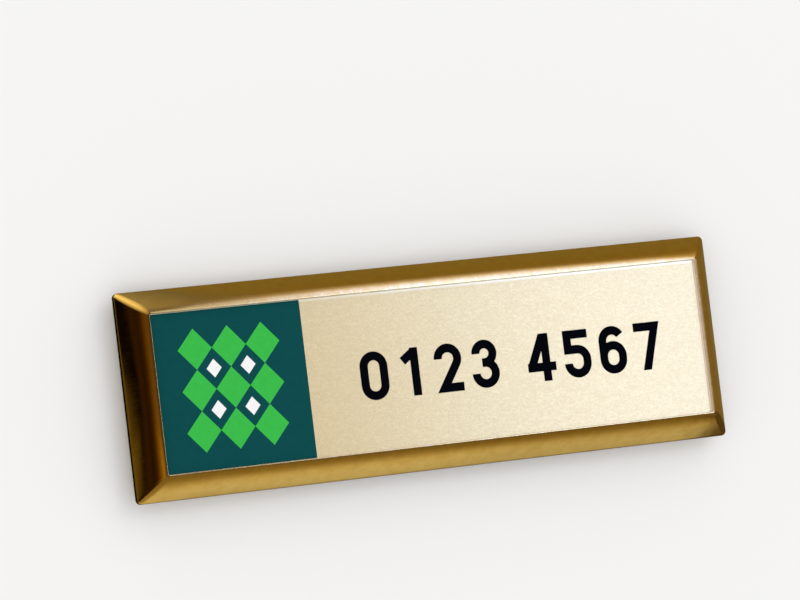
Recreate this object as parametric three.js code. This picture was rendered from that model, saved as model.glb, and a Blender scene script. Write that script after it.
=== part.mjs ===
// Framed metal name badge, lying face up on the magnet bar at its back.
//
// The frame is one pressed brass sheet: a flat floor, a short wall round it, and a border that
// rolls over the wall's crest, slopes away as a slightly convex bevel and ends in a straight
// rim. A thin metal name plate lies in the recess. Behind, the border is a hollow channel round
// the back of the floor, and a plain magnet bar is stuck to that floor and stands out past the
// rim.
//
// Units are millimetres and +Z is up. X runs along the badge, to the right as it is read, Y runs
// up its face and Z comes out of it. The origin is the middle of the magnet bar's back face.

import * as THREE from "three";
import { toCreasedNormals } from "three/addons/utils/BufferGeometryUtils.js";

// Frame: its outline, and its border from the rim over the crest to the recess
const FRAME_LENGTH = 78;
const FRAME_HEIGHT = 25;
const BORDER_WIDTH = 3;
const BORDER_RISE = 4.3;
const RIM_HEIGHT = 0.8;
const LIP_RADIUS = 0.1;
const SHEET_THICKNESS = 0.7;
const CREST_THICKNESS = 1.05;
const BACK_BEND_RADIUS = 0.4;
const OUTER_CORNER_RADIUS = 0.6;
const OPENING_CORNER_RADIUS = 0.3;

// Slope in degrees with which the bevel leaves the crest, and the share of the border's width at
// which its tangents from the crest and from the rim meet: near 1 the slope is straight, near 0
// the edge is square
const CREST_SLOPE = 12;
const BEVEL_SHARE = 0.64;

// Name plate, lying in the frame's recess
const PLATE_THICKNESS = 0.6;
const PLATE_BELOW_CREST = 0.6;
const PLATE_CLEARANCE = 0.1;

// Magnet bar, stuck to the back of the frame's floor
const BAR_LENGTH = 45;
const BAR_WIDTH = 13;
const BAR_STANDOFF = 2;
const BAR_CORNER_RADIUS = 2;
const BAR_EDGE_RADIUS = 0.5;

// Film of glue under the plate and above the magnet bar
const GLUE_GAP = 0.1;

// Facets of the round stretches
const BORDER_STEPS = 14;
const BEND_STEPS = 3;
const CORNER_STEPS = 6;

// Heights above the frame's rim, from the crest down
const plateFace = BORDER_RISE - PLATE_BELOW_CREST;
const plateBack = plateFace - PLATE_THICKNESS;
const recessFloor = plateBack - GLUE_GAP;
const floorBack = recessFloor - SHEET_THICKNESS;
const barFront = floorBack - GLUE_GAP;

// The ground is the bar's back face, so the rim stands above it by the bar's standoff
const rimLevel = BAR_STANDOFF;
const barThickness = BAR_STANDOFF + barFront;

// An arc of a circle as [across, up] points, between two angles in degrees
function arc({ centre, radius, from, to, steps }) {
  return Array.from({ length: steps + 1 }, (_, i) => {
    const angle = THREE.MathUtils.degToRad(from + ((to - from) * i) / steps);
    return [centre[0] + radius * Math.cos(angle), centre[1] + radius * Math.sin(angle)];
  });
}

// A rectangle with round corners, as anticlockwise [x, y] points about its middle
function roundedRectangle(length, height, radius) {
  const quadrants = [
    { x: 1, y: 1, from: 0 },
    { x: -1, y: 1, from: 90 },
    { x: -1, y: -1, from: 180 },
    { x: 1, y: -1, from: 270 },
  ];
  return quadrants.flatMap(({ x, y, from }) =>
    arc({
      centre: [x * (length / 2 - radius), y * (height / 2 - radius)],
      radius,
      from,
      to: from + 90,
      steps: CORNER_STEPS,
    }),
  );
}

// The frame's outline drawn in by an inset. Its corners sharpen from the rim to the opening,
// which leaves the soft ridge of a pressed mitre on the border.
function frameRing(inset, height) {
  const radius = THREE.MathUtils.mapLinear(
    inset,
    0,
    BORDER_WIDTH,
    OUTER_CORNER_RADIUS,
    OPENING_CORNER_RADIUS,
  );
  const outline = roundedRectangle(FRAME_LENGTH - 2 * inset, FRAME_HEIGHT - 2 * inset, radius);
  return outline.map(([x, y]) => [x, y, height]);
}

// A closed body through rings of equal point count, with a flat cap on the first and the last
function loft(rings) {
  const perRing = rings[0].length;
  const faces = [];
  for (let row = 0; row < rings.length - 1; row++) {
    for (let i = 0; i < perRing; i++) {
      const here = row * perRing + i;
      const beside = row * perRing + ((i + 1) % perRing);
      faces.push(here, here + perRing, beside);
      faces.push(beside, here + perRing, beside + perRing);
    }
  }
  const last = (rings.length - 1) * perRing;
  for (let i = 1; i < perRing - 1; i++) {
    faces.push(0, i, i + 1);
    faces.push(last, last + i + 1, last + i);
  }
  const geometry = new THREE.BufferGeometry();
  geometry.setAttribute("position", new THREE.Float32BufferAttribute(rings.flat(2), 3));
  geometry.setIndex(faces);
  return toCreasedNormals(geometry, Math.PI / 5);
}

// The border's bevel as [inset, height] points, from where it leaves the lip down to the rim,
// where it is steepest
function bevel([inset, height]) {
  const reach = inset * (1 - BEVEL_SHARE);
  const drop = reach * Math.tan(THREE.MathUtils.degToRad(CREST_SLOPE));
  const curve = new THREE.QuadraticBezierCurve(
    new THREE.Vector2(inset, height),
    new THREE.Vector2(inset - reach, height - drop),
    new THREE.Vector2(0, RIM_HEIGHT),
  );
  return curve.getPoints(BORDER_STEPS).map((point) => point.toArray());
}

// The sheet's front as [inset, height] points: up the recess wall, over the crest, down to the rim
function sheetFront() {
  const lip = {
    centre: [BORDER_WIDTH - LIP_RADIUS, BORDER_RISE - LIP_RADIUS],
    radius: LIP_RADIUS,
  };
  const upToCrest = arc({ ...lip, from: 0, to: 90, steps: BEND_STEPS });
  const pastCrest = arc({ ...lip, from: 90, to: 90 + CREST_SLOPE, steps: 1 });
  return [[BORDER_WIDTH, recessFloor], ...upToCrest, ...bevel(pastCrest.at(-1)), [0, 0]];
}

// The sheet's back as [inset, height] points: up behind the rim and the bevel to the top of the
// channel, then down behind the recess wall and round onto the floor's back
function sheetBack() {
  const channelEnd = BORDER_WIDTH - SHEET_THICKNESS;
  const bend = arc({
    centre: [channelEnd + BACK_BEND_RADIUS, floorBack + BACK_BEND_RADIUS],
    radius: BACK_BEND_RADIUS,
    from: 180,
    to: 270,
    steps: BEND_STEPS,
  });
  return [
    [SHEET_THICKNESS, 0],
    [SHEET_THICKNESS, RIM_HEIGHT],
    [channelEnd, BORDER_RISE - CREST_THICKNESS],
    ...bend,
  ];
}

function makeFrame(material) {
  const section = [...sheetFront(), ...sheetBack()];
  const rings = section.map(([inset, height]) => frameRing(inset, height));
  const frame = new THREE.Mesh(loft(rings), material);
  frame.name = "frame";
  frame.position.z = rimLevel;
  return frame;
}

function makeNamePlate(material) {
  const inset = BORDER_WIDTH + PLATE_CLEARANCE;
  const outline = roundedRectangle(
    FRAME_LENGTH - 2 * inset,
    FRAME_HEIGHT - 2 * inset,
    OPENING_CORNER_RADIUS,
  );
  const shape = new THREE.Shape(outline.map(([x, y]) => new THREE.Vector2(x, y)));
  const geometry = new THREE.ExtrudeGeometry(shape, {
    depth: PLATE_THICKNESS,
    bevelEnabled: false,
  });
  const plate = new THREE.Mesh(geometry, material);
  plate.name = "name_plate";
  plate.position.z = rimLevel + plateBack;
  return plate;
}

// The bar's rounded edges grow out of the extruded shape, so that shape is smaller by them
function makeMagnetBar(material) {
  const outline = roundedRectangle(
    BAR_LENGTH - 2 * BAR_EDGE_RADIUS,
    BAR_WIDTH - 2 * BAR_EDGE_RADIUS,
    BAR_CORNER_RADIUS - BAR_EDGE_RADIUS,
  );
  const shape = new THREE.Shape(outline.map(([x, y]) => new THREE.Vector2(x, y)));
  const geometry = new THREE.ExtrudeGeometry(shape, {
    depth: barThickness - 2 * BAR_EDGE_RADIUS,
    bevelThickness: BAR_EDGE_RADIUS,
    bevelSize: BAR_EDGE_RADIUS,
    bevelSegments: BEND_STEPS,
  });
  const bar = new THREE.Mesh(geometry, material);
  bar.name = "magnet_bar";
  bar.position.z = BAR_EDGE_RADIUS;
  return bar;
}

const polishedBrass = new THREE.MeshStandardMaterial({
  color: 0xb98a3a,
  roughness: 0.22,
  metalness: 1,
});

const brushedGold = new THREE.MeshStandardMaterial({
  color: 0xeadcb8,
  roughness: 0.42,
  metalness: 0.9,
});

const nickelledSteel = new THREE.MeshStandardMaterial({
  color: 0xb4b4b0,
  roughness: 0.35,
  metalness: 1,
});

const badge = new THREE.Group();
badge.add(makeFrame(polishedBrass));
badge.add(makeNamePlate(brushedGold));
badge.add(makeMagnetBar(nickelledSteel));

export default badge;
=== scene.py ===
# %% [markdown]
# # A framed metal name badge
#
# The badge has three hard pieces. A border of pressed brass holds a thin plate of pale gold
# metal, and a magnet bar behind it goes under the cloth of a pocket. The plate is printed with a
# coloured square and a row of figures.
#
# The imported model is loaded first. It is the fixed frame: each new piece takes its size and its
# place from it, and nothing in it is moved.

# %% Load the fixed frame
import math

import bmesh
import bpy
from mathutils import Matrix, Vector
from mathutils.geometry import interpolate_bezier


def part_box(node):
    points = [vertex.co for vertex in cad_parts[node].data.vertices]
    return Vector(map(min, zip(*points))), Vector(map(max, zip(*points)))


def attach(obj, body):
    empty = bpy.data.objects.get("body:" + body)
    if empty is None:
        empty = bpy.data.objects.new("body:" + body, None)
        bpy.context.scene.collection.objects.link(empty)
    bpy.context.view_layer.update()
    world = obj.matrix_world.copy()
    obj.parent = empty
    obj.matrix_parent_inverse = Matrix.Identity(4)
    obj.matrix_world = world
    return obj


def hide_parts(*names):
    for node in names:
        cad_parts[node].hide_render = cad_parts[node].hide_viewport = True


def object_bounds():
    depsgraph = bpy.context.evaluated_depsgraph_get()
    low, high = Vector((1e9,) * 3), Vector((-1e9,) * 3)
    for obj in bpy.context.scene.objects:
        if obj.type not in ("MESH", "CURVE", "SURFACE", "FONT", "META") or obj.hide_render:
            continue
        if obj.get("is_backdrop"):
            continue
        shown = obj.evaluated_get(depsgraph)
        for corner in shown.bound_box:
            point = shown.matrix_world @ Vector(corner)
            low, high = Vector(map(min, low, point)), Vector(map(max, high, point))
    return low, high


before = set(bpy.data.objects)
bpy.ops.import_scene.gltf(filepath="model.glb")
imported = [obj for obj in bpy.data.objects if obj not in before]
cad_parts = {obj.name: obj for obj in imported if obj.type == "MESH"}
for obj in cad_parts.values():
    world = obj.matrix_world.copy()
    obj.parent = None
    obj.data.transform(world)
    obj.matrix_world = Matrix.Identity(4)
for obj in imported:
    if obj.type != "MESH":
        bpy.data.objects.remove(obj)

MM = 0.001
cad_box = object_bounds()
print("nodes:", sorted(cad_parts))

# %% [markdown]
# ## Read the sizes off the frame
#
# The three boxes give most sizes. The plate fills the border's opening but for a small clearance,
# so the plate's edge also says how wide the border is. Two films of glue say how high the floor
# of the pressed sheet lies.

# %% Sizes from the frame
PLATE_CLEARANCE = 0.1 * MM
GLUE = 0.1 * MM

frame_low, frame_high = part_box("frame")
plate_low, plate_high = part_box("name_plate")
bar_low, bar_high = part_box("magnet_bar")

half_length = frame_high.x
half_height = frame_high.y
crest = frame_high.z
foot = frame_low.z
border_width = frame_high.x - plate_high.x - PLATE_CLEARANCE
recess_floor = plate_low.z - GLUE
floor_back = bar_high.z + GLUE
print(f"border {border_width / MM:.2f} mm wide, crest {crest / MM:.2f} mm above the table")

# %% [markdown]
# ## Camera
#
# The camera looks down on the badge from its left, with a long lens, and is rolled a little. Its
# place is easiest to say as turns: start straight above the face, turn to the side, tilt, roll,
# and then step back along the line of sight. The badge's rim is the level that it turns about.

# %% Camera
CAMERA_TURN = math.radians(-23.18)
CAMERA_TILT = math.radians(2.49)
CAMERA_ROLL = math.radians(-6.88)
CAMERA_DISTANCE = 516 * MM
CAMERA_ASIDE = -3.13 * MM
CAMERA_RAISE = 8.11 * MM
PIXELS_PER_METRE = 8253
PICTURE_WIDTH = 800
SENSOR_WIDTH = 36
NEAREST_SEEN = 50 * MM

camera_data = bpy.data.cameras.new("camera")
camera_data.sensor_width = SENSOR_WIDTH
camera_data.lens = PIXELS_PER_METRE * CAMERA_DISTANCE * SENSOR_WIDTH / PICTURE_WIDTH
camera_data.clip_start = NEAREST_SEEN
camera = bpy.data.objects.new("camera", camera_data)
bpy.context.scene.collection.objects.link(camera)
facing = (
    Matrix.Rotation(CAMERA_TURN, 4, "Y")
    @ Matrix.Rotation(CAMERA_TILT, 4, "X")
    @ Matrix.Rotation(CAMERA_ROLL, 4, "Z")
)
step_back = Matrix.Translation((CAMERA_ASIDE, CAMERA_RAISE, CAMERA_DISTANCE))
camera.matrix_world = Matrix.Translation((0, 0, foot)) @ facing @ step_back
bpy.context.scene.camera = camera
print(f"camera with a {camera_data.lens:.0f} mm lens")

# %% [markdown]
# ## Helpers for meshes
#
# A piece is shaped in a bmesh and then becomes an object at the origin, with its place in its
# mesh. Smooth shading is right for rounded metal, and edges that turn sharply stay crisp. A bevel
# in code needs its profile and its material spelled out, so one helper does that for every edge.

# %% Helpers for meshes
SHARP_TURN = math.radians(38)
TINY = 0.001 * MM


def only_verts(items):
    """The points among all that an operator has made"""
    return [item for item in items if isinstance(item, bmesh.types.BMVert)]


def link_object(name, mesh):
    made = bpy.data.objects.new(name, mesh)
    bpy.context.scene.collection.objects.link(made)
    return made


def finish_piece(name, shell, materials):
    bmesh.ops.recalc_face_normals(shell, faces=shell.faces)
    for face in shell.faces:
        face.smooth = True
    mesh = bpy.data.meshes.new(name)
    shell.to_mesh(mesh)
    shell.free()
    mesh.set_sharp_from_angle(angle=SHARP_TURN)
    for material in materials:
        mesh.materials.append(material)
    print(f"{name}: {len(mesh.vertices)} vertices, {len(mesh.polygons)} faces")
    return link_object(name, mesh)


def keep_flats_flat(piece):
    """Lets large faces decide the shading, so a softened edge doesn't tint the flat beside it"""
    weights = piece.modifiers.new("flat_sides", "WEIGHTED_NORMAL")
    weights.keep_sharp = True
    return piece


def box_between(shell, low, high):
    """A cube stretched between two corners"""
    size = high - low
    place = Matrix.Translation((low + high) / 2) @ Matrix.Diagonal((*size, 1))
    return bmesh.ops.create_cube(shell, size=1, matrix=place)["verts"]


def round_edges(shell, edges, radius, steps):
    bmesh.ops.bevel(
        shell,
        geom=edges,
        offset=radius,
        segments=steps,
        profile=0.5,
        affect="EDGES",
        material=-1,
        clamp_overlap=True,
    )


# %% [markdown]
# ## Helpers for materials
#
# Every finish is a small network of nodes that ends in one Principled shader. These helpers add
# a node with its values, and a noise that is stretched as a brush stretches a scratch. Sizes go
# in as the real size of one grain, in metres, so they can be compared with the badge.

# %% Helpers for materials
NOISE_ROUGHNESS = 0.55


def new_finish(name):
    finish = bpy.data.materials.new(name)
    finish.use_nodes = True
    return finish, finish.node_tree, finish.node_tree.nodes["Principled BSDF"]


def add_node(tree, kind, **values):
    made = tree.nodes.new(kind)
    for name, value in values.items():
        made.inputs[name.replace("_", " ")].default_value = value
    return made


def object_place(tree):
    return tree.nodes.new("ShaderNodeTexCoord").outputs["Object"]


def grain(tree, place, size, detail=2.0):
    """Noise whose grains are as long as size says along each axis"""
    stretch = add_node(tree, "ShaderNodeMapping", Scale=tuple(1 / length for length in size))
    tree.links.new(place, stretch.inputs["Vector"])
    noise = add_node(
        tree,
        "ShaderNodeTexNoise",
        Scale=1.0,
        Detail=detail,
        Roughness=NOISE_ROUGHNESS,
    )
    tree.links.new(stretch.outputs["Vector"], noise.inputs["Vector"])
    return noise.outputs["Fac"]


def between(tree, source, low, high, start=0.3, end=0.7):
    """Stretches a value that lies between start and end to one between low and high"""
    spread = add_node(
        tree,
        "ShaderNodeMapRange",
        From_Min=start,
        From_Max=end,
        To_Min=low,
        To_Max=high,
    )
    tree.links.new(source, spread.inputs["Value"])
    return spread.outputs["Result"]


def combine(tree, operation, *values):
    """A sum, product or the like of numbers and of what makes them"""
    node = tree.nodes.new("ShaderNodeMath")
    node.operation = operation
    for socket, value in zip(node.inputs, values):
        if isinstance(value, bpy.types.NodeSocket):
            tree.links.new(value, socket)
        else:
            socket.default_value = value
    return node.outputs["Value"]


def blend_colours(tree, share, first, second):
    """Mixes two colours, or what makes them, by a share from 0 to 1"""
    mix = tree.nodes.new("ShaderNodeMix")
    mix.data_type = "RGBA"
    tree.links.new(share, mix.inputs["Factor"])
    for socket, colour in ((mix.inputs[6], first), (mix.inputs[7], second)):
        if isinstance(colour, bpy.types.NodeSocket):
            tree.links.new(colour, socket)
        else:
            socket.default_value = (*colour, 1)
    return mix.outputs[2]


def add_bump(tree, shader, height, depth, under=None):
    """Pushes the surface in and out by depth, on top of what another bump has done"""
    bump = add_node(tree, "ShaderNodeBump", Strength=1.0, Distance=depth)
    tree.links.new(height, bump.inputs["Height"])
    if under is not None:
        tree.links.new(under.outputs["Normal"], bump.inputs["Normal"])
    tree.links.new(bump.outputs["Normal"], shader.inputs["Normal"])
    return bump


# %% [markdown]
# ## Floor and soft light
#
# The badge lies on a plain pale table under a white sky. Two large lamps far above add a little
# direction. Lamps and table are hidden from mirror rays, because polished brass would show them
# as they are: what it mirrors is set up by itself in the next step.

# %% Floor and soft light
FLOOR_RADIUS = 4.0
FLOOR_STEPS = 64
FLOOR_COLOUR = (0.93, 0.925, 0.915)
FLOOR_ROUGHNESS = 0.9
SKY_STRENGTH = 0.82
LAMPS = (
    # name, place, size and power
    ("lamp_right", (0.9, 0.9, 1.3), 1.2, 5.0),
    ("lamp_left", (-0.8, -0.5, 1.5), 1.4, 3.0),
)


def paint_floor():
    finish, _, shader = new_finish("pale_table")
    shader.inputs["Base Color"].default_value = (*FLOOR_COLOUR, 1)
    shader.inputs["Roughness"].default_value = FLOOR_ROUGHNESS
    shader.inputs["Specular IOR Level"].default_value = 0.0
    return finish


def lay_floor():
    shell = bmesh.new()
    bmesh.ops.create_circle(shell, cap_ends=True, segments=FLOOR_STEPS, radius=FLOOR_RADIUS)
    floor = finish_piece("table_top", shell, [paint_floor()])
    floor.visible_glossy = False
    floor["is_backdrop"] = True


def hang_lamp(name, place, size, power):
    light = bpy.data.lights.new(name, "AREA")
    light.shape = "DISK"
    light.size = size
    light.energy = power
    lamp = link_object(name, light)
    lamp.location = place
    lamp.rotation_mode = "QUATERNION"
    lamp.rotation_quaternion = Vector(place).to_track_quat("Z", "Y")
    lamp.visible_glossy = False


lay_floor()
for lamp_row in LAMPS:
    hang_lamp(*lamp_row)
sky = bpy.data.worlds.new("white_sky")
sky.use_nodes = True
sky.node_tree.nodes["Background"].inputs["Color"].default_value = (1, 1, 1, 1)
sky.node_tree.nodes["Background"].inputs["Strength"].default_value = SKY_STRENGTH
sky.cycles_visibility.glossy = False
bpy.context.scene.world = sky
bpy.context.scene.view_settings.view_transform = "Standard"
print("table, sky and", len(LAMPS), "lamps")

# %% [markdown]
# ## What the brass mirrors
#
# Polished metal has no colour pattern of its own: it is a picture of what stands round it. In a
# photo studio that is a ring of cards. Here each card is a glowing panel that only mirror rays
# see. Its brightness runs from one value to the next with height, and the heights are given as
# angles above the table, because that is how a mirror on the badge sees them. A card goes on
# below the table, where it stands for the table's own dim reflection.
#
# Two cards are special. The one at the back stands farther off, which leaves room for a softbox in
# front of it. The window card is bright in its middle and fades towards both sides, and its
# picture is the soft highlight on the border's upper left mitre.

# %% Light on the cards
FRONT_LIGHT = [
    # degrees above the table, red, green, blue
    (-57, 0.12, 0.10, 0.06), (-29, 0.42, 0.40, 0.28), (-25, 0.63, 0.60, 0.40),
    (-18, 0.68, 0.64, 0.45), (-9, 0.62, 0.555, 0.325), (-2, 0.475, 0.39, 0.20),
    (7, 0.345, 0.27, 0.10), (17, 0.28, 0.20, 0.065), (37, 0.235, 0.175, 0.055),
    (60, 0.20, 0.15, 0.06),
]
FRONT_RIGHT_SHARE = 0.87
CARDS = {
    # azimuth of the middle, width, and at each elevation the light: degrees, red, green, blue
    "card_left_back": (170.5, 19, [
        (-57, 0.07, 0.055, 0.025), (-12, 0.13, 0.095, 0.017), (-6, 0.02, 0.013, 0.004),
        (0, 0.008, 0.004, 0.001), (4, 0.035, 0.016, 0.003), (11, 0.020, 0.008, 0.001),
        (19, 0.045, 0.018, 0.002), (28, 0.11, 0.050, 0.004), (42, 0.15, 0.070, 0.006),
        (60, 0.09, 0.060, 0.020),
    ]),
    "card_left_front": (202, 44, [
        (-57, 0.08, 0.065, 0.030), (-12, 0.17, 0.115, 0.020), (-5, 0.12, 0.082, 0.012),
        (-1, 0.010, 0.004, 0.001), (4, 0.035, 0.016, 0.003), (11, 0.020, 0.008, 0.001),
        (19, 0.050, 0.022, 0.002), (28, 0.17, 0.085, 0.007), (44, 0.40, 0.205, 0.018),
        (60, 0.18, 0.120, 0.030),
    ]),
    "card_window": (116.5, 89, [
        (-57, 1.1, 1.0, 0.65), (-20, 1.35, 1.2, 0.75), (5, 1.45, 1.28, 0.8), (22, 1.1, 0.92, 0.55),
        (42, 0.62, 0.50, 0.26), (60, 0.35, 0.27, 0.12),
    ]),
    "card_back": (61, 46, [
        (-57, 0.26, 0.20, 0.060), (-24, 0.25, 0.19, 0.050), (-8, 0.25, 0.18, 0.040),
        (-1, 0.30, 0.215, 0.047), (4, 0.37, 0.27, 0.085), (10, 0.46, 0.36, 0.14),
        (17, 0.54, 0.43, 0.20), (25, 0.60, 0.48, 0.29), (34, 0.62, 0.56, 0.48),
        (43, 0.62, 0.69, 0.82),
    ]),
    "card_right": (18, 46, [
        (-57, 0.20, 0.150, 0.055), (-20, 0.22, 0.155, 0.048), (10, 0.255, 0.185, 0.055),
        (60, 0.22, 0.165, 0.070),
    ]),
    "card_gap": (-30, 50, [
        (-57, 0.09, 0.065, 0.022), (10, 0.10, 0.07, 0.025), (30, 0.18, 0.13, 0.05),
        (60, 0.20, 0.15, 0.07),
    ]),
    "card_front": (-101, 72, FRONT_LIGHT),
    "card_front_right": (-60, 10, [
        (at, *(channel * FRONT_RIGHT_SHARE for channel in light)) for at, *light in FRONT_LIGHT
    ]),
}
CEILING_LIGHT = (0.08, 0.065, 0.032)
print("light for", len(CARDS), "cards and a ceiling")

# %% [markdown]
# ## How a card shines
#
# A card is no lamp: it is a surface with an Emission shader in place of the Principled one. A
# colour ramp holds its light from bottom to top. The table above gives angles, and an upright
# card needs heights, which the tangent works out. Object coordinates are real metres here, so the
# ramp can read Z, and the fading of the window card can read X.

# %% Shine of a card
LOW_TANGENT = -1.6
HIGH_TANGENT = 2.0
WINDOW_SIDES = (
    # X over the card's distance where the light is faint and where it is full, and the faint share
    (0.31, -0.50, 0.13),
    (-0.94, -0.62, 0.20),
)


def glow(name):
    """A material that only shines, and the socket that its light comes in at"""
    finish = bpy.data.materials.new(name)
    finish.use_nodes = True
    tree = finish.node_tree
    tree.nodes.remove(tree.nodes["Principled BSDF"])
    shine = tree.nodes.new("ShaderNodeEmission")
    tree.links.new(shine.outputs["Emission"], tree.nodes["Material Output"].inputs["Surface"])
    return finish, tree, shine


def height_on_card(elevation):
    """The place of an angle on a card, from 0 at its lower edge to 1 at its upper edge"""
    share = (math.tan(math.radians(elevation)) - LOW_TANGENT) / (HIGH_TANGENT - LOW_TANGENT)
    return min(max(share, 0), 1)


def light_ramp(tree, share, stops):
    """Colours between stops, each with a position from 0 to 1 and a light"""
    ramp = tree.nodes.new("ShaderNodeValToRGB")
    tree.links.new(share, ramp.inputs["Fac"])
    marks = ramp.color_ramp.elements
    while len(marks) < len(stops):
        marks.new(0.5)
    for mark, (position, *light) in zip(marks, stops):
        mark.position = position
        mark.color = (*light, 1)
    return ramp.outputs["Color"]


def fade_sideways(tree, x, distance):
    """Dims a card towards both its upright edges, by X"""
    shares = [
        between(tree, x, share, 1, faint * distance, full * distance)
        for faint, full, share in WINDOW_SIDES
    ]
    return combine(tree, "MINIMUM", *shares)


def shade_card(name, distance, stops):
    finish, tree, shine = glow(name)
    place = tree.nodes.new("ShaderNodeSeparateXYZ")
    tree.links.new(object_place(tree), place.inputs["Vector"])
    low, high = distance * LOW_TANGENT, distance * HIGH_TANGENT
    share = between(tree, place.outputs["Z"], 0, 1, low, high)
    marks = [(height_on_card(at), *light) for at, *light in stops]
    tree.links.new(light_ramp(tree, share, marks), shine.inputs["Color"])
    if name == "card_window":
        sides = fade_sideways(tree, place.outputs["X"], distance)
        tree.links.new(sides, shine.inputs["Strength"])
    return finish


# %% [markdown]
# ## Stand the cards up
#
# A flat card is nearer in its middle than at its ends, so one height would mean several angles.
# A card bent round the badge keeps its distance: a point is spun to an arc, and the arc is drawn
# upwards. Then the card is hidden from all but mirror rays. The last card lies flat above the
# badge, as a ceiling, and closes the ring at its top.

# %% Stand the cards up
CARD_DISTANCE = 0.5
FAR_CARD_DISTANCE = 0.75
CARD_STEPS = 12
CEILING_OVERHANG = 1.05
CEILING_STEPS = 48


def only_for_mirrors(card):
    card.visible_camera = False
    card.visible_diffuse = False
    card.visible_shadow = False
    card.visible_transmission = False
    card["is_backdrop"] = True


def stand_card(name, azimuth, width, stops, distance):
    """A panel bent round the badge, an arc drawn upwards"""
    shell = bmesh.new()
    start = Vector((distance, 0, distance * LOW_TANGENT))
    bmesh.ops.rotate(
        shell,
        verts=[shell.verts.new(start)],
        cent=(0, 0, 0),
        matrix=Matrix.Rotation(math.radians(azimuth - width / 2), 3, "Z"),
    )
    bmesh.ops.spin(
        shell,
        geom=shell.verts[:],
        cent=(0, 0, 0),
        axis=(0, 0, 1),
        angle=math.radians(width),
        steps=CARD_STEPS,
    )
    raised = bmesh.ops.extrude_edge_only(shell, edges=shell.edges[:])["geom"]
    rise = (0, 0, distance * (HIGH_TANGENT - LOW_TANGENT))
    bmesh.ops.translate(shell, verts=only_verts(raised), vec=rise)
    only_for_mirrors(finish_piece(name, shell, [shade_card(name, distance, stops)]))


def lay_ceiling(name, light):
    shell = bmesh.new()
    place = Matrix.Translation((0, 0, CARD_DISTANCE * HIGH_TANGENT))
    radius = CARD_DISTANCE * CEILING_OVERHANG
    bmesh.ops.create_circle(
        shell,
        cap_ends=True,
        segments=CEILING_STEPS,
        radius=radius,
        matrix=place,
    )
    finish, _, shine = glow(name)
    shine.inputs["Color"].default_value = (*light, 1)
    only_for_mirrors(finish_piece(name, shell, [finish]))


for card_name, (card_azimuth, card_width, card_stops) in CARDS.items():
    card_distance = FAR_CARD_DISTANCE if card_name == "card_back" else CARD_DISTANCE
    stand_card(card_name, card_azimuth, card_width, card_stops, card_distance)
lay_ceiling("card_ceiling", CEILING_LIGHT)

# %% [markdown]
# ## Softbox
#
# The bright line along the upper crest is the picture of one big softbox. It leans over the badge
# from behind, and it grows brighter to the right, which is why the line fades out to the left. A
# lamp would light the plate and the table too, so the softbox is a card: an edge between two
# corners, drawn sideways. Its dim part must not hide the back card, so its shader adds its light
# to what stands behind it.

# %% Softbox
SOFTBOX_UPPER_CORNER = Vector((0.10, 0.08, 0.53))
SOFTBOX_LOWER_CORNER = Vector((0.10, 0.62, -0.08))
SOFTBOX_LENGTH = 0.175
SOFTBOX_RISE_X = (0.117, 0.177)
SOFTBOX_LEAN_BELOW = 0.16
SOFTBOX_LEAN = 0.30
SOFTBOX_SLANT_FROM_X = 0.207
SOFTBOX_SLANT = 3.0
SOFTBOX_BRIGHTEST = 4.8
SOFTBOX_LIGHT = [
    # height, and the light there as a share of the brightest: red, green, blue
    (-0.06, 0.018, 0.022, 0.034), (0.00, 0.055, 0.058, 0.085), (0.045, 0.085, 0.10, 0.19),
    (0.09, 0.115, 0.155, 0.355), (0.14, 0.14, 0.205, 0.56), (0.19, 0.17, 0.24, 0.75),
    (0.26, 0.20, 0.29, 0.86),
]
SOFTBOX_RAMP_LOW = -0.08
SOFTBOX_RAMP_HIGH = 0.53


def panel(first, second, along):
    """A flat panel: an edge between two corners, drawn along a way"""
    shell = bmesh.new()
    shell.edges.new((shell.verts.new(first), shell.verts.new(second)))
    drawn = bmesh.ops.extrude_edge_only(shell, edges=shell.edges[:])["geom"]
    bmesh.ops.translate(shell, verts=only_verts(drawn), vec=along)
    return shell


def let_light_through(tree, shine):
    """Adds the card's light to what stands behind it, where a plain card would hide it"""
    clear = tree.nodes.new("ShaderNodeBsdfTransparent")
    both = tree.nodes.new("ShaderNodeAddShader")
    tree.links.new(shine.outputs["Emission"], both.inputs[0])
    tree.links.new(clear.outputs["BSDF"], both.inputs[1])
    tree.links.new(both.outputs["Shader"], tree.nodes["Material Output"].inputs["Surface"])


def lean(tree, source, amount, by_how_much):
    """Takes a share of an amount off what comes in, where the amount is above zero"""
    positive = combine(tree, "MAXIMUM", amount, 0)
    return combine(tree, "SUBTRACT", source, combine(tree, "MULTIPLY", positive, by_how_much))


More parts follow.
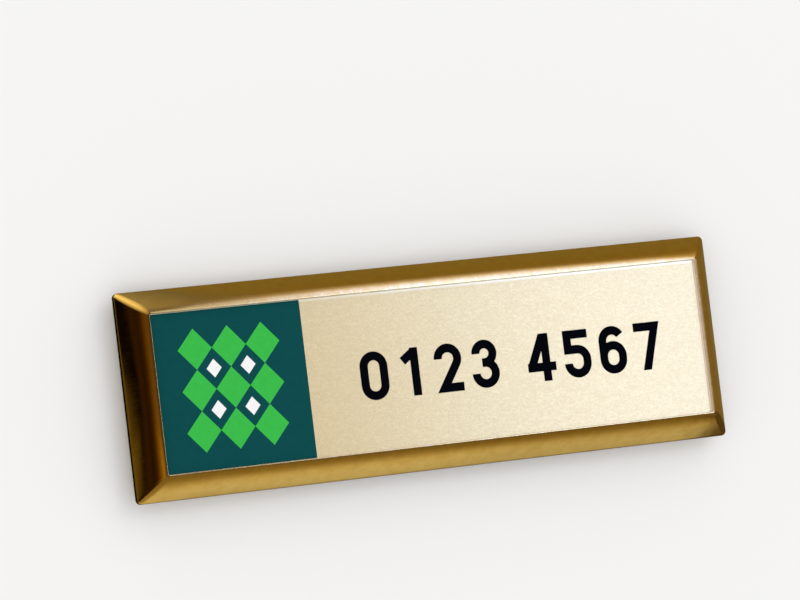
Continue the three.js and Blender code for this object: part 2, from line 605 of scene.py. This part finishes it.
def hang_softbox():
    shell = panel(SOFTBOX_UPPER_CORNER, SOFTBOX_LOWER_CORNER, (SOFTBOX_LENGTH, 0, 0))
    finish, tree, shine = glow("softbox")
    place = tree.nodes.new("ShaderNodeSeparateXYZ")
    tree.links.new(object_place(tree), place.inputs["Vector"])
    x, z = place.outputs["X"], place.outputs["Z"]
    x = lean(tree, x, combine(tree, "SUBTRACT", SOFTBOX_LEAN_BELOW, z), SOFTBOX_LEAN)
    level = lean(tree, z, combine(tree, "SUBTRACT", x, SOFTBOX_SLANT_FROM_X), SOFTBOX_SLANT)
    share = between(tree, level, 0, 1, SOFTBOX_RAMP_LOW, SOFTBOX_RAMP_HIGH)
    span = SOFTBOX_RAMP_HIGH - SOFTBOX_RAMP_LOW
    stops = [((height - SOFTBOX_RAMP_LOW) / span, *light) for height, *light in SOFTBOX_LIGHT]
    tree.links.new(light_ramp(tree, share, stops), shine.inputs["Color"])
    along = between(tree, x, 0, SOFTBOX_BRIGHTEST, *SOFTBOX_RISE_X)
    along.node.interpolation_type = "SMOOTHSTEP"
    tree.links.new(along, shine.inputs["Strength"])
    let_light_through(tree, shine)
    only_for_mirrors(finish_piece("softbox", shell, [finish]))


hang_softbox()

# %% [markdown]
# ## Flag
#
# A photographer who wants a dark streak on bright metal holds a black card beside it, a flag. Here
# a flag puts the streak on the border's left side. A straight edge would give a straight streak,
# and the real one slants and bends, so the flag's lower edge is cut point by point. It is then
# drawn up to a level top.

# %% Flag
FLAG_X = -0.139
FLAG_TOP = 0.003
FLAG_FAR_Y = 0.06
FLAG_LIGHT = (0.003, 0.0015, 0.001)
FLAG_CUTS = [
    # points on the lower edge, as (y, z), from its near end on
    (-0.02, 0.0025), (-0.0021, -0.0008), (0.0003, -0.0034), (0.0028, -0.0066), (0.0046, -0.0115),
    (0.0062, -0.0180), (0.0074, -0.026),
]


def hang_flag():
    """A black card: its lower edge is drawn point by point and then raised to its top"""
    shell = bmesh.new()
    edge_points = [*FLAG_CUTS, (FLAG_FAR_Y, FLAG_CUTS[-1][1])]
    verts = [shell.verts.new((FLAG_X, y, z)) for y, z in edge_points]
    for start, end in zip(verts, verts[1:]):
        shell.edges.new((start, end))
    drawn = bmesh.ops.extrude_edge_only(shell, edges=shell.edges[:])["geom"]
    for vert in only_verts(drawn):
        vert.co.z = FLAG_TOP
    finish, _, shine = glow("flag")
    shine.inputs["Color"].default_value = (*FLAG_LIGHT, 1)
    only_for_mirrors(finish_piece("flag", shell, [finish]))


hang_flag()

# %% [markdown]
# ## Glow card
#
# The plate is satin and lies flat, so it mirrors one broad soft patch of what is above it. A cool
# card up there takes the yellow out of its sheen. It is drawn as the softbox is, and its light is
# the same all over.

# %% Glow card
GLOW_CARD_LEFT = Vector((0.26, -0.24, 0.60))
GLOW_CARD_RIGHT = Vector((0.42, -0.24, 0.54))
GLOW_CARD_DEPTH = 0.40
GLOW_CARD_LIGHT = (2.15, 3.2, 7.4)


def hang_glow_card():
    shell = panel(GLOW_CARD_LEFT, GLOW_CARD_RIGHT, (0, GLOW_CARD_DEPTH, 0))
    finish, _, shine = glow("glow_card")
    shine.inputs["Color"].default_value = (*GLOW_CARD_LIGHT, 1)
    only_for_mirrors(finish_piece("glow_card", shell, [finish]))


hang_glow_card()

# %% [markdown]
# ## Polished brass
#
# Brass gets its colour from its reflections, so the shader is a full metal with a golden base.
# The border was polished by a wheel that ran across it, and its fine hairs feather every
# highlight. They follow the border round its corners, which needs a UV map made for it: U runs
# along the border and V across it, both in metres. A soft mottle changes tone and gloss, and
# worn spots along the crest are paler.

# %% Polished brass
BRASS = (0.82, 0.57, 0.20)
BRASS_DEEP = (0.76, 0.50, 0.155)
BRASS_WORN = (0.88, 0.68, 0.34)
HAIR_SIZE = (0.14 * MM, 1.6 * MM, 1.0)
HAIR_DEPTH = 0.002 * MM
MOTTLE_SIZE = (1.3 * MM,) * 3
MOTTLE_FACTOR = (0.85, 1.15)
HAIR_ROUGHNESS = (0.085, 0.165)
WORN_BAND = 0.5 * MM
WORN_SPOT_SIZE = (0.5 * MM,) * 3
WORN_SHARE = 0.6
WORN_NOISE = (0.52, 0.66)


def polished_brass():
    finish, tree, shader = new_finish("polished_brass")
    shader.inputs["Metallic"].default_value = 1.0
    border_map = add_node(tree, "ShaderNodeUVMap")
    border_map.uv_map = "border"
    place = object_place(tree)
    hairs = grain(tree, border_map.outputs["UV"], HAIR_SIZE, detail=3.0)
    mottle = grain(tree, place, MOTTLE_SIZE)

    height = tree.nodes.new("ShaderNodeSeparateXYZ")
    tree.links.new(place, height.inputs["Vector"])
    near_crest = between(tree, height.outputs["Z"], 0, 1, crest - WORN_BAND, crest)
    spots = between(tree, grain(tree, place, WORN_SPOT_SIZE), 0, WORN_SHARE, *WORN_NOISE)
    wear = combine(tree, "MULTIPLY", near_crest, spots)

    tone = blend_colours(tree, between(tree, mottle, 0, 1), BRASS, BRASS_DEEP)
    worn = blend_colours(tree, wear, tone, BRASS_WORN)
    tree.links.new(worn, shader.inputs["Base Color"])
    by_mottle = between(tree, mottle, *MOTTLE_FACTOR)
    by_hairs = between(tree, hairs, *HAIR_ROUGHNESS)
    tree.links.new(combine(tree, "MULTIPLY", by_mottle, by_hairs), shader.inputs["Roughness"])
    add_bump(tree, shader, hairs, HAIR_DEPTH)
    return finish


brass = polished_brass()
print("finish:", brass.name)

# %% [markdown]
# ## Painted light on the wall of the opening
#
# The low wall inside the opening does not get the polished brass. Its flat colours are painted
# light. Along the two long sides it is near white and matt, a painted highlight that fills the gap
# between the crest's highlight and the plate. At the two ends it is pinkish and dull, a painted
# reflection of the plate in the wall.

# %% Painted light on the walls
STAIN_SIZE = (0.6 * MM,) * 3
# painted light: the near-white long walls are a painted highlight, the pinkish end walls a painted
# reflection of the plate
WALL_PAINTED_LIGHT = {
    # name: pale and dark colour, metallic and roughness
    "rubbed_brass": ((1.0, 0.97, 0.90), (0.97, 0.92, 0.82), 0.0, 0.5),
    "end_wall_painted_reflection": ((0.82, 0.68, 0.58), (0.64, 0.50, 0.41), 0.3, 0.45),
}


def paint_wall(name, pale, dark, metallic, roughness):
    finish, tree, shader = new_finish(name)
    shader.inputs["Metallic"].default_value = metallic
    shader.inputs["Roughness"].default_value = roughness
    stains = grain(tree, object_place(tree), STAIN_SIZE)
    tone = blend_colours(tree, between(tree, stains, 0, 1), pale, dark)
    tree.links.new(tone, shader.inputs["Base Color"])
    return finish


painted_walls = [paint_wall(name, *look) for name, look in WALL_PAINTED_LIGHT.items()]
print("finishes:", [finish.name for finish in painted_walls])

# %% [markdown]
# ## The brass border
#
# The real piece is one sheet, pressed so that it rolls over a crest and slopes away to a straight
# rim. Two ways lead there: push a cube about, or draw the sheet's cut once and carry it round.
# The second is closer to the press tool. The cut's first point becomes a ring, which is a circle
# whose four quarters are moved apart. Extruding that ring from point to point leaves the sheet
# behind it. The corners are roundest halfway down the slope, which gives the soft ridge of a
# pressed mitre.

# %% Section of the sheet
RIM_HEIGHT = 0.8 * MM
LIP_RADIUS = 0.06 * MM
SHEET = 0.7 * MM
CREST_SHEET = 1.05 * MM
BACK_BEND_RADIUS = 0.4 * MM
CREST_SLOPE = 12
BEVEL_SHARE = 0.64
BEVEL_STEPS = 22
ARC_STEPS = 6


def arc_points(centre, radius, start, end, steps):
    """Points of a round bend, as (inset, height)"""
    points = []
    for step in range(steps + 1):
        angle = math.radians(start + (end - start) * step / steps)
        points.append((centre[0] + radius * math.cos(angle), centre[1] + radius * math.sin(angle)))
    return points


def bevel_points(inset, height):
    """The border's slope, from where it leaves the lip down to the rim, where it is steepest"""
    reach = inset * (1 - BEVEL_SHARE)
    start = Vector((inset, height))
    pull = start - Vector((reach, reach * math.tan(math.radians(CREST_SLOPE))))
    end = Vector((0, foot + RIM_HEIGHT))
    # a curve with one handle, given by the two handles that the function asks for
    handles = start.lerp(pull, 2 / 3), end.lerp(pull, 2 / 3)
    slope = interpolate_bezier(start, *handles, end, BEVEL_STEPS + 1)
    return [(point.x, point.y) for point in slope]


def sheet_front():
    """Up the wall of the opening, over the crest, down the slope and the rim"""
    centre = (border_width - LIP_RADIUS, crest - LIP_RADIUS)
    lip = arc_points(centre, LIP_RADIUS, 0, 90, ARC_STEPS)
    past_crest = arc_points(centre, LIP_RADIUS, 90, 90 + CREST_SLOPE, 1)[1]
    return [(border_width, recess_floor), *lip, *bevel_points(*past_crest), (0, foot)]


def sheet_back():
    """Up behind the rim and the slope, then down behind the wall and round under the floor"""
    channel_end = border_width - SHEET
    bend_centre = (channel_end + BACK_BEND_RADIUS, floor_back + BACK_BEND_RADIUS)
    bend = arc_points(bend_centre, BACK_BEND_RADIUS, 180, 270, ARC_STEPS)
    return [(SHEET, foot), (SHEET, foot + RIM_HEIGHT), (channel_end, crest - CREST_SHEET), *bend]


section = sheet_front() + sheet_back()
print(len(section), "points in the sheet's cut")

# %% [markdown]
# A mesh shades its corners by the average of the faces that meet there. On a long straight side
# that average would tint the whole side, so each straight stretch of the ring gets one extra
# point near either end. The shading then turns softly into the corner, as the metal of a pressed
# corner does, and the rest of the side stays straight to the eye.

# %% Rings of the border
OUTER_CORNER_RADIUS = 0.6 * MM
OPENING_CORNER_RADIUS = 0.3 * MM
CORNER_BULGE = 0.38 * MM
CORNER_STEPS = 9
STRAIGHT_HOLD = 3.0 * MM


def corner_at(spot, inset, height):
    """The radius and the centre of the ring's corner nearest to a spot"""
    share = inset / border_width
    radius = OUTER_CORNER_RADIUS + (OPENING_CORNER_RADIUS - OUTER_CORNER_RADIUS) * share
    # the bulge is nothing at both ends of the slope and full halfway
    radius += CORNER_BULGE * 4 * share * (1 - share)
    x = math.copysign(half_length - inset - radius, spot.x)
    y = math.copysign(half_height - inset - radius, spot.y)
    return radius, Vector((x, y, height))


def add_holds(edge):
    """Splits a straight edge close to both ends"""
    near, far = edge.verts
    length = edge.calc_length()
    middle = bmesh.utils.edge_split(edge, near, STRAIGHT_HOLD / length)[1]
    long_part = next(link for link in middle.link_edges if link.calc_length() > length / 2)
    bmesh.utils.edge_split(long_part, far, STRAIGHT_HOLD / long_part.calc_length())


def first_ring(shell, inset, height):
    """A circle whose four quarters are moved apart"""
    radius = corner_at(Vector((1, 1, 0)), inset, height)[0]
    points = 4 * CORNER_STEPS
    half_step = Matrix.Rotation(math.pi / points, 4, "Z")
    made = bmesh.ops.create_circle(shell, segments=points, radius=radius, matrix=half_step)
    for vert in made["verts"]:
        vert.co += corner_at(vert.co, inset, height)[1]
    sides = [edge for edge in shell.edges if edge.calc_length() > 4 * radius]
    for side in sides:
        add_holds(side)
    return shell.edges[:]


def carry_ring(shell, ring, here, there):
    """Draws the ring on to the next point of the cut and leaves a band of faces behind"""
    drawn = bmesh.ops.extrude_edge_only(shell, edges=ring)["geom"]
    verts = only_verts(drawn)
    for vert in verts:
        radius, centre = corner_at(vert.co, *here)
        next_radius, next_centre = corner_at(vert.co, *there)
        vert.co = next_centre + (vert.co - centre) * next_radius / radius
    moved = set(verts)
    edges = [item for item in drawn if isinstance(item, bmesh.types.BMEdge)]
    return [edge for edge in edges if all(vert in moved for vert in edge.verts)]


# %% [markdown]
# The first and the last ring are filled to make the sheet's flat floor, front and back. The edges
# of the rim and of its foot are rounded last, because a press never leaves them sharp.

# %% Build the border
RIM_EDGE_RADIUS = 0.12 * MM
FOOT_EDGE_RADIUS = 0.15 * MM
SMALL_EDGE_STEPS = 3
STEEP = 0.7


def map_border(shell):
    """U along the border and V across it, in metres"""
    layer = shell.loops.layers.uv.new("border")
    for face in shell.faces:
        middle = face.calc_center_median()
        on_long_side = half_height - abs(middle.y) < half_length - abs(middle.x)
        for loop in face.loops:
            spot = loop.vert.co
            along, across = (spot.x, spot.y) if on_long_side else (spot.y, spot.x)
            loop[layer].uv = (along, abs(across) + spot.z)


def finish_row(face):
    """Which finish a face gets: 0 for the border, 1 and 2 for the painted long and short walls"""
    middle = face.calc_center_median()
    beyond = max(abs(middle.x) - half_length, abs(middle.y) - half_height) + border_width
    if beyond > TINY or abs(face.normal.z) > STEEP or middle.z < recess_floor:
        return 0
    return 1 if abs(face.normal.y) > STEEP else 2


def build_border():
    shell = bmesh.new()
    rings = [first_ring(shell, *section[0])]
    for here, there in zip(section, section[1:]):
        rings.append(carry_ring(shell, rings[-1], here, there))
    print(len(rings), "rings of", len(rings[0]), "edges")
    for ring in (rings[0], rings[-1]):
        bmesh.ops.edgeloop_fill(shell, edges=ring)
    bmesh.ops.recalc_face_normals(shell, faces=shell.faces)

    rim_row = len(sheet_front()) - 2
    round_edges(shell, rings[rim_row], RIM_EDGE_RADIUS, SMALL_EDGE_STEPS)
    round_edges(shell, rings[rim_row + 1], FOOT_EDGE_RADIUS, SMALL_EDGE_STEPS)
    map_border(shell)
    for face in shell.faces:
        face.material_index = finish_row(face)
    return finish_piece("brass_border", shell, [brass, *painted_walls])


border = build_border()
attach(border, "root")
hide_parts("frame")

# %% [markdown]
# ## Satin gold plate
#
# The plate is rolled metal with a satin face. Seen close, it has three scales: broad soft clouds,
# a fine grain, and faint hairlines that run along it. All three are weak. Some of the shine is
# diffuse, because the face is lacquered, so it stays bright from any side. A hair's breadth along
# the upper and the right edge is painted paler. Along the upper edge this is a painted highlight,
# the glow of the crest's highlight running onto the plate. Along the right edge it is painted light
# against the wall's shade, and there the plate is also not metallic, so it mirrors no dark wall.

# %% Satin gold
GOLD = (0.94, 0.715, 0.30)
GOLD_SHADE = (0.715, 0.51, 0.19)
# painted light: paler colours for the bands along the upper edge (a painted highlight) and the
# right edge (light against the wall's shade)
GOLD_PAINTED_HIGHLIGHT_UPPER = (1.0, 0.86, 0.48)
GOLD_PAINTED_LIGHT_RIGHT = (1.0, 0.90, 0.66)
METAL_SHARE = 0.35
CLOUD_SHARE = (0.2, 0.6)
GRAIN_ROUGHNESS = (0.21, 0.27)
PAINTED_EDGE_WIDTH = 0.3 * MM
CLOUD_SIZE = (0.75 * MM, 0.32 * MM, 1.0 * MM)
GRAIN_SIZE = (0.20 * MM, 0.13 * MM, 0.2 * MM)
HAIRLINE_SIZE = (3.0 * MM, 0.08 * MM, 1.0 * MM)
GRAIN_DEPTH = 0.0015 * MM
HAIRLINE_DEPTH = 0.001 * MM


def near_edges(tree, place):
    """For the right and the upper edge: from 0 inside the plate to 1 in the band of painted light
    """
    spot = tree.nodes.new("ShaderNodeSeparateXYZ")
    tree.links.new(place, spot.inputs["Vector"])
    right = between(tree, spot.outputs["X"], 0, 1, plate_high.x - PAINTED_EDGE_WIDTH, plate_high.x)
    upper = between(tree, spot.outputs["Y"], 0, 1, plate_high.y - PAINTED_EDGE_WIDTH, plate_high.y)
    return right, upper


def satin_gold():
    finish, tree, shader = new_finish("satin_gold")
    place = object_place(tree)
    clouds = grain(tree, place, CLOUD_SIZE)
    specks = grain(tree, place, GRAIN_SIZE, detail=3.0)
    hairlines = grain(tree, place, HAIRLINE_SIZE)
    tone = blend_colours(tree, between(tree, clouds, *CLOUD_SHARE), GOLD, GOLD_SHADE)
    speckled = blend_colours(tree, between(tree, specks, 0, 1), tone, GOLD_SHADE)
    # painted highlight along the upper edge, painted light against the wall's shade along the right
    # edge, which is also made non-metallic
    right, upper = near_edges(tree, place)
    rubbed = blend_colours(tree, upper, speckled, GOLD_PAINTED_HIGHLIGHT_UPPER)
    rubbed = blend_colours(tree, right, rubbed, GOLD_PAINTED_LIGHT_RIGHT)
    tree.links.new(rubbed, shader.inputs["Base Color"])
    tree.links.new(between(tree, right, METAL_SHARE, 0, 0, 1), shader.inputs["Metallic"])
    tree.links.new(between(tree, specks, *GRAIN_ROUGHNESS), shader.inputs["Roughness"])
    lines = add_bump(tree, shader, hairlines, HAIRLINE_DEPTH)
    add_bump(tree, shader, specks, GRAIN_DEPTH, under=lines)
    return finish


gold = satin_gold()
print("finish:", gold.name)

# %% [markdown]
# ## The plate
#
# A thin slab with tiny round corners and a softened upper edge. A cube between the two corners of
# its box is the shortest way, and two bevels finish it: first the four upright edges, then the
# upper rim. It is grown by less than a tenth of a millimetre, because a real plate touches its
# frame here and there and no dark line shows round it.

# %% Build the plate
PLATE_CORNER_RADIUS = 0.3 * MM
PLATE_CORNER_STEPS = 5
PLATE_EDGE_RADIUS = 0.025 * MM
PLATE_GROWTH = 0.09 * MM


def upright_edges(shell):
    return [edge for edge in shell.edges if abs(edge.verts[0].co.z - edge.verts[1].co.z) > TINY]


def at_height(shell, height):
    return [edge for edge in shell.edges if all(abs(v.co.z - height) < TINY for v in edge.verts)]


def build_plate():
    shell = bmesh.new()
    growth = Vector((PLATE_GROWTH, PLATE_GROWTH, 0))
    box_between(shell, plate_low - growth, plate_high + growth)
    round_edges(shell, upright_edges(shell), PLATE_CORNER_RADIUS, PLATE_CORNER_STEPS)
    round_edges(shell, at_height(shell, plate_high.z), PLATE_EDGE_RADIUS, SMALL_EDGE_STEPS)
    return keep_flats_flat(finish_piece("gold_plate", shell, [gold]))


plate = build_plate()
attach(plate, "root")
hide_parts("name_plate")

# %% [markdown]
# ## Inks
#
# Printing ink is a thin satin film. It is opaque, a little uneven in depth, and has a faint skin
# like that of an orange. One function makes all four colours.

# %% Inks
INK_CLOUD_SIZE = (0.7 * MM,) * 3
INK_THIN_SHARE = 0.94
INK_SKIN_SIZE = (0.16 * MM,) * 3
INK_SKIN_DEPTH = 0.002 * MM
INK_ROUGHNESS = 0.55
INK_MIRROR = 0.02
INKS = {
    "print_teal": (0.0036, 0.0725, 0.0745),
    "print_green": (0.046, 0.52, 0.072),
    "print_white": (0.97, 0.97, 0.97),
    "print_black": (0.0010, 0.0012, 0.0022),
}


def printing_ink(name, colour):
    finish, tree, shader = new_finish(name)
    shader.inputs["Roughness"].default_value = INK_ROUGHNESS
    shader.inputs["Specular IOR Level"].default_value = INK_MIRROR
    place = object_place(tree)
    cover = between(tree, grain(tree, place, INK_CLOUD_SIZE), 0, 1)
    thin = tuple(channel * INK_THIN_SHARE for channel in colour)
    tree.links.new(blend_colours(tree, cover, colour, thin), shader.inputs["Base Color"])
    add_bump(tree, shader, grain(tree, place, INK_SKIN_SIZE), INK_SKIN_DEPTH)
    return finish


inks = {name: printing_ink(name, colour) for name, colour in INKS.items()}
print("inks:", list(inks))

# %% [markdown]
# ## Printed square
#
# A dark square covers the plate's left end. It carries a plain harlequin pattern: three by three
# upright lozenges that meet at their tips, and a small diamond in each gap between four of them.
# Every lozenge is a circle of four points, stretched, and raised by the thickness of the ink.

# %% Printed square
INK_FILM = 0.02 * MM
SQUARE_MARGIN = -0.045 * MM
SQUARE_LENGTH = 18.95 * MM
LOZENGES = 3
LOZENGE_HALF = Vector((2.15 * MM, 2.45 * MM))
DIAMOND_HALF = Vector((0.95 * MM, 1.1 * MM))

print_level = plate_high.z
second_pass = print_level + INK_FILM
square_low = Vector((plate_low.x + SQUARE_MARGIN, plate_low.y + SQUARE_MARGIN, print_level))
square_high = Vector((plate_low.x + SQUARE_LENGTH, plate_high.y - SQUARE_MARGIN, second_pass))
square_middle = (square_low + square_high) / 2


def print_piece(name, shell, ink):
    piece = finish_piece(name, shell, [inks[ink]])
    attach(piece, "root")
    return piece


def raise_ink(shell, faces):
    """Makes a closed film of flat faces"""
    raised = bmesh.ops.extrude_face_region(shell, geom=faces, use_keep_orig=True)["geom"]
    bmesh.ops.translate(shell, verts=only_verts(raised), vec=(0, 0, INK_FILM))


def add_lozenge(shell, x, y, half, level):
    place = Matrix.Translation((x, y, level)) @ Matrix.Diagonal((half.x, half.y, 1, 1))
    made = bmesh.ops.create_circle(shell, cap_ends=True, segments=4, radius=1, matrix=place)
    raise_ink(shell, made["verts"][0].link_faces[:])


def lozenge_field(name, count, half, ink, level):
    """Rows of shapes round the square's middle, each a green lozenge's size from the next"""
    shell = bmesh.new()
    for row in range(count):
        for column in range(count):
            x = square_middle.x + (column - (count - 1) / 2) * 2 * LOZENGE_HALF.x
            y = square_middle.y + (row - (count - 1) / 2) * 2 * LOZENGE_HALF.y
            add_lozenge(shell, x, y, half, level)
    return print_piece(name, shell, ink)


ground = bmesh.new()
box_between(ground, square_low, square_high)
print_piece("print_ground", ground, "print_teal")
lozenge_field("print_lozenges", LOZENGES, LOZENGE_HALF, "print_green", second_pass)
lozenge_field("print_diamonds", LOZENGES - 1, DIAMOND_HALF, "print_white", second_pass)

# %% [markdown]
# ## Printed figures
#
# A row of plain figures stands where the badge is read. They are drawn as a sign painter draws
# them: a flat nib, here an edge as long as the stroke is wide, is moved straight or swung round a
# centre, and leaves faces behind it. Strokes may cross, so a Boolean melts them into one film.

# %% Strokes of the figures
STROKE = 1.06 * MM
WIDE = 2.55 * MM
TALL = 4.80 * MM
ROUND = WIDE / 2
OVERRUN = 0.5 * MM
HOOK = 0.35 * MM


def go(distance):
    return ("go", distance, 0)


def turn(degrees, radius=ROUND):
    """Swings to the left where degrees is positive, to the right where it is negative"""
    return ("turn", radius, degrees)


LOW_BOWL = 2.95 * MM
STEM_X = 1.78 * MM
CROSSBAR_Y = 1.25 * MM
BACK_X = 0.08 * MM
FOOT_START_X = 0.3 * MM
BOWL_SIDE = LOW_BOWL - 2 * ROUND
HIGH_ROUND = (TALL - 2 * ROUND) / 2
FIGURES = {
    # for each stroke: start x and y from the figure's lower left, heading in degrees, and the moves
    "0": [(WIDE, ROUND, 90, [go(TALL - WIDE), turn(180), go(TALL - WIDE), turn(180)])],
    "1": [
        (STEM_X, -OVERRUN, 90, [go(TALL + 2 * OVERRUN)]),
        (STEM_X, TALL + 0.05 * MM, 215, [go(1.9 * MM)]),
    ],
    "2": [
        (0, TALL - ROUND, 90, [turn(-213), go(4.4 * MM)]),
        (FOOT_START_X, 0, 0, [go(WIDE + STROKE / 2 - FOOT_START_X)]),
    ],
    "3": [
        (0, ROUND, -90, [turn(270), go(HOOK)]),
        (WIDE / 2 - HIGH_ROUND, TALL - HIGH_ROUND, 90, [turn(-270, HIGH_ROUND), go(HOOK)]),
    ],
    "4": [
        (1.9 * MM, -OVERRUN, 90, [go(TALL + 2 * OVERRUN)]),
        (1.98 * MM, TALL + 1.03 * MM, -114.6, [go(4.70 * MM)]),
        (-0.62 * MM, CROSSBAR_Y, 0, [go(WIDE + 1.22 * MM)]),
    ],
    "5": [
        (0, ROUND, -90, [turn(180), go(BOWL_SIDE), turn(90), go(WIDE - ROUND)]),
        (BACK_X, LOW_BOWL - STROKE / 2, 90, [go(TALL - LOW_BOWL + STROKE)]),
        (BACK_X - STROKE / 2, TALL, 0, [go(WIDE + STROKE * 0.7)]),
    ],
    "6": [
        (WIDE, ROUND, 90, [go(BOWL_SIDE), turn(180), go(BOWL_SIDE), turn(180)]),
        (0, ROUND, 90, [go(TALL - WIDE), turn(-150)]),
    ],
    "7": [
        (-STROKE / 2, TALL, 0, [go(WIDE + 0.73 * MM)]),
        (WIDE + 0.07 * MM, TALL + 0.85 * MM, -106, [go(TALL + 4.4 * OVERRUN)]),
    ],
}
print(f"{len(FIGURES)} figures for a nib {STROKE / MM:.2f} mm wide")

# %% [markdown]
# The nib is an edge whose right end is named first, so it knows which way is ahead. A straight
# move extrudes it, and a bend spins it round a point at its side. Where a stroke comes back to
# its start, as in a nought, the ends are merged, because two walls there would leave a seam.

# %% A nib that draws
TURN_STEP = math.radians(9)
JOIN_REACH = 0.01 * MM


def nib_frame(nib):
    """The middle of a nib, which is a right and a left end, and the way that it faces"""
    right, left = nib
    across = (left.co - right.co).normalized()
    return (right.co + left.co) / 2, Vector((across.y, -across.x, 0))


def move_nib(ink, nib, kind, amount, degrees):
    middle, ahead = nib_frame(nib)
    edge = ink.edges.get(nib)
    if kind == "go":
        ends = only_verts(bmesh.ops.extrude_edge_only(ink, edges=[edge])["geom"])
        bmesh.ops.translate(ink, verts=ends, vec=ahead * amount)
    else:
        angle = math.radians(degrees)
        leftward = Vector((-ahead.y, ahead.x, 0))
        swung = bmesh.ops.spin(
            ink,
            geom=[*nib, edge],
            cent=middle + leftward * math.copysign(amount, angle),
            axis=(0, 0, 1),
            angle=angle,
            steps=max(2, round(abs(angle) / TURN_STEP)),
        )["geom_last"]
        ends = only_verts(swung)
    moved_middle = (ends[0].co + ends[1].co) / 2
    moved_ahead = ahead if kind == "go" else Matrix.Rotation(math.radians(degrees), 3, "Z") @ ahead
    is_left = (ends[0].co - moved_middle).dot(Vector((-moved_ahead.y, moved_ahead.x, 0))) > 0
    return [ends[1], ends[0]] if is_left else ends


def close_loop(ink, first, last):
    """Joins the ends of a stroke that comes back to its start"""
    for start, end in zip(first, last):
        if (start.co - end.co).length < JOIN_REACH:
            bmesh.ops.pointmerge(ink, verts=[start, end], merge_co=start.co)


def draw_stroke(ink, corner, start_x, start_y, heading, moves):
    """One stroke of a figure whose lower left corner is given"""
    turned = Matrix.Rotation(math.radians(heading), 3, "Z")
    start = corner + Vector((start_x, start_y, 0))
    half_nib = turned @ Vector((0, STROKE / 2, 0))
    nib = [ink.verts.new(start - half_nib), ink.verts.new(start + half_nib)]
    ink.edges.new(nib)
    first = nib
    for move in moves:
        nib = move_nib(ink, nib, *move)
    close_loop(ink, first, nib)


# %% [markdown]
# Slanting strokes are drawn too long on purpose and cut off level with the line of writing. Then
# each stroke is raised to a closed film, and the films are melted together.

# %% Build the figures
FIGURE_ROW = "0123 4567"
FIGURES_START_X = -9.65 * MM
FIGURES_BASE_Y = -2.9 * MM
FIGURE_PITCH = 4.86 * MM
SPACE_SHARE = 0.55


def trim_row(ink, base):
    """Cuts the row off level, above and below"""
    for level, side in ((base - STROKE / 2, -1), (base + TALL + STROKE / 2, 1)):
        bmesh.ops.bisect_plane(
            ink,
            geom=ink.verts[:] + ink.edges[:] + ink.faces[:],
            plane_co=(0, level, 0),
            plane_no=(0, side, 0),
            clear_outer=True,
        )


def build_figures():
    ink = bmesh.new()
    x = FIGURES_START_X
    for figure in FIGURE_ROW:
        if figure == " ":
            x += FIGURE_PITCH * SPACE_SHARE
            continue
        for stroke in FIGURES[figure]:
            draw_stroke(ink, Vector((x, FIGURES_BASE_Y, print_level)), *stroke)
        x += FIGURE_PITCH
    trim_row(ink, FIGURES_BASE_Y)
    raise_ink(ink, ink.faces[:])
    return print_piece("print_figures", ink, "print_black")


def melt_together(piece):
    """Makes one closed film of strokes that cross"""
    melt = piece.modifiers.new("melt", "BOOLEAN")
    melt.operation = "UNION"
    melt.solver = "EXACT"
    melt.operand_type = "COLLECTION"
    melt.use_self = True


figures = build_figures()
melt_together(figures)

# %% [markdown]
# ## Satin nickel
#
# The magnet bar is nickel-plated and ground along its length. It hides behind the badge, but it
# shows from below and from the side.

# %% Satin nickel
NICKEL = (0.66, 0.65, 0.62)
NICKEL_SHADE = (0.55, 0.54, 0.51)
NICKEL_METALLIC = 0.9
GRIND_SIZE = (4 * MM, 0.1 * MM, 0.1 * MM)
GRIND_DEPTH = 0.0008 * MM
SMUDGE_SIZE = (2.5 * MM,) * 3
SMUDGE_ROUGHNESS = (0.28, 0.42)


def satin_nickel():
    finish, tree, shader = new_finish("satin_nickel")
    shader.inputs["Metallic"].default_value = NICKEL_METALLIC
    place = object_place(tree)
    lines = grain(tree, place, GRIND_SIZE)
    smudges = grain(tree, place, SMUDGE_SIZE)
    tone = blend_colours(tree, between(tree, smudges, 0, 1), NICKEL, NICKEL_SHADE)
    tree.links.new(tone, shader.inputs["Base Color"])
    tree.links.new(between(tree, smudges, *SMUDGE_ROUGHNESS), shader.inputs["Roughness"])
    add_bump(tree, shader, lines, GRIND_DEPTH)
    return finish


nickel = satin_nickel()
print("finish:", nickel.name)

# %% [markdown]
# ## The magnet bar
#
# A plain bar with round corners and soft edges, stuck to the back of the sheet's floor.

# %% Build the magnet bar
BAR_CORNER_RADIUS = 2.0 * MM
BAR_CORNER_STEPS = 8
BAR_EDGE_RADIUS = 0.5 * MM
BAR_EDGE_STEPS = 5


def build_bar():
    shell = bmesh.new()
    box_between(shell, bar_low, bar_high)
    round_edges(shell, upright_edges(shell), BAR_CORNER_RADIUS, BAR_CORNER_STEPS)
    flat_edges = at_height(shell, bar_low.z) + at_height(shell, bar_high.z)
    round_edges(shell, flat_edges, BAR_EDGE_RADIUS, BAR_EDGE_STEPS)
    return keep_flats_flat(finish_piece("nickel_bar", shell, [nickel]))


bar = build_bar()
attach(bar, "root")
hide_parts("magnet_bar")

# %% [markdown]
# ## Boxes
#
# The sizes of the frame's box and of the dressed badge's box are printed.

# %% Print the boxes
bpy.context.view_layer.update()
boxes = {
    "cad": [list(corner) for corner in cad_box],
    "visual": [list(corner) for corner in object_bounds()],
}
for label, (low, high) in boxes.items():
    print(label, [round((b - a) / MM, 3) for a, b in zip(low, high)], "mm")
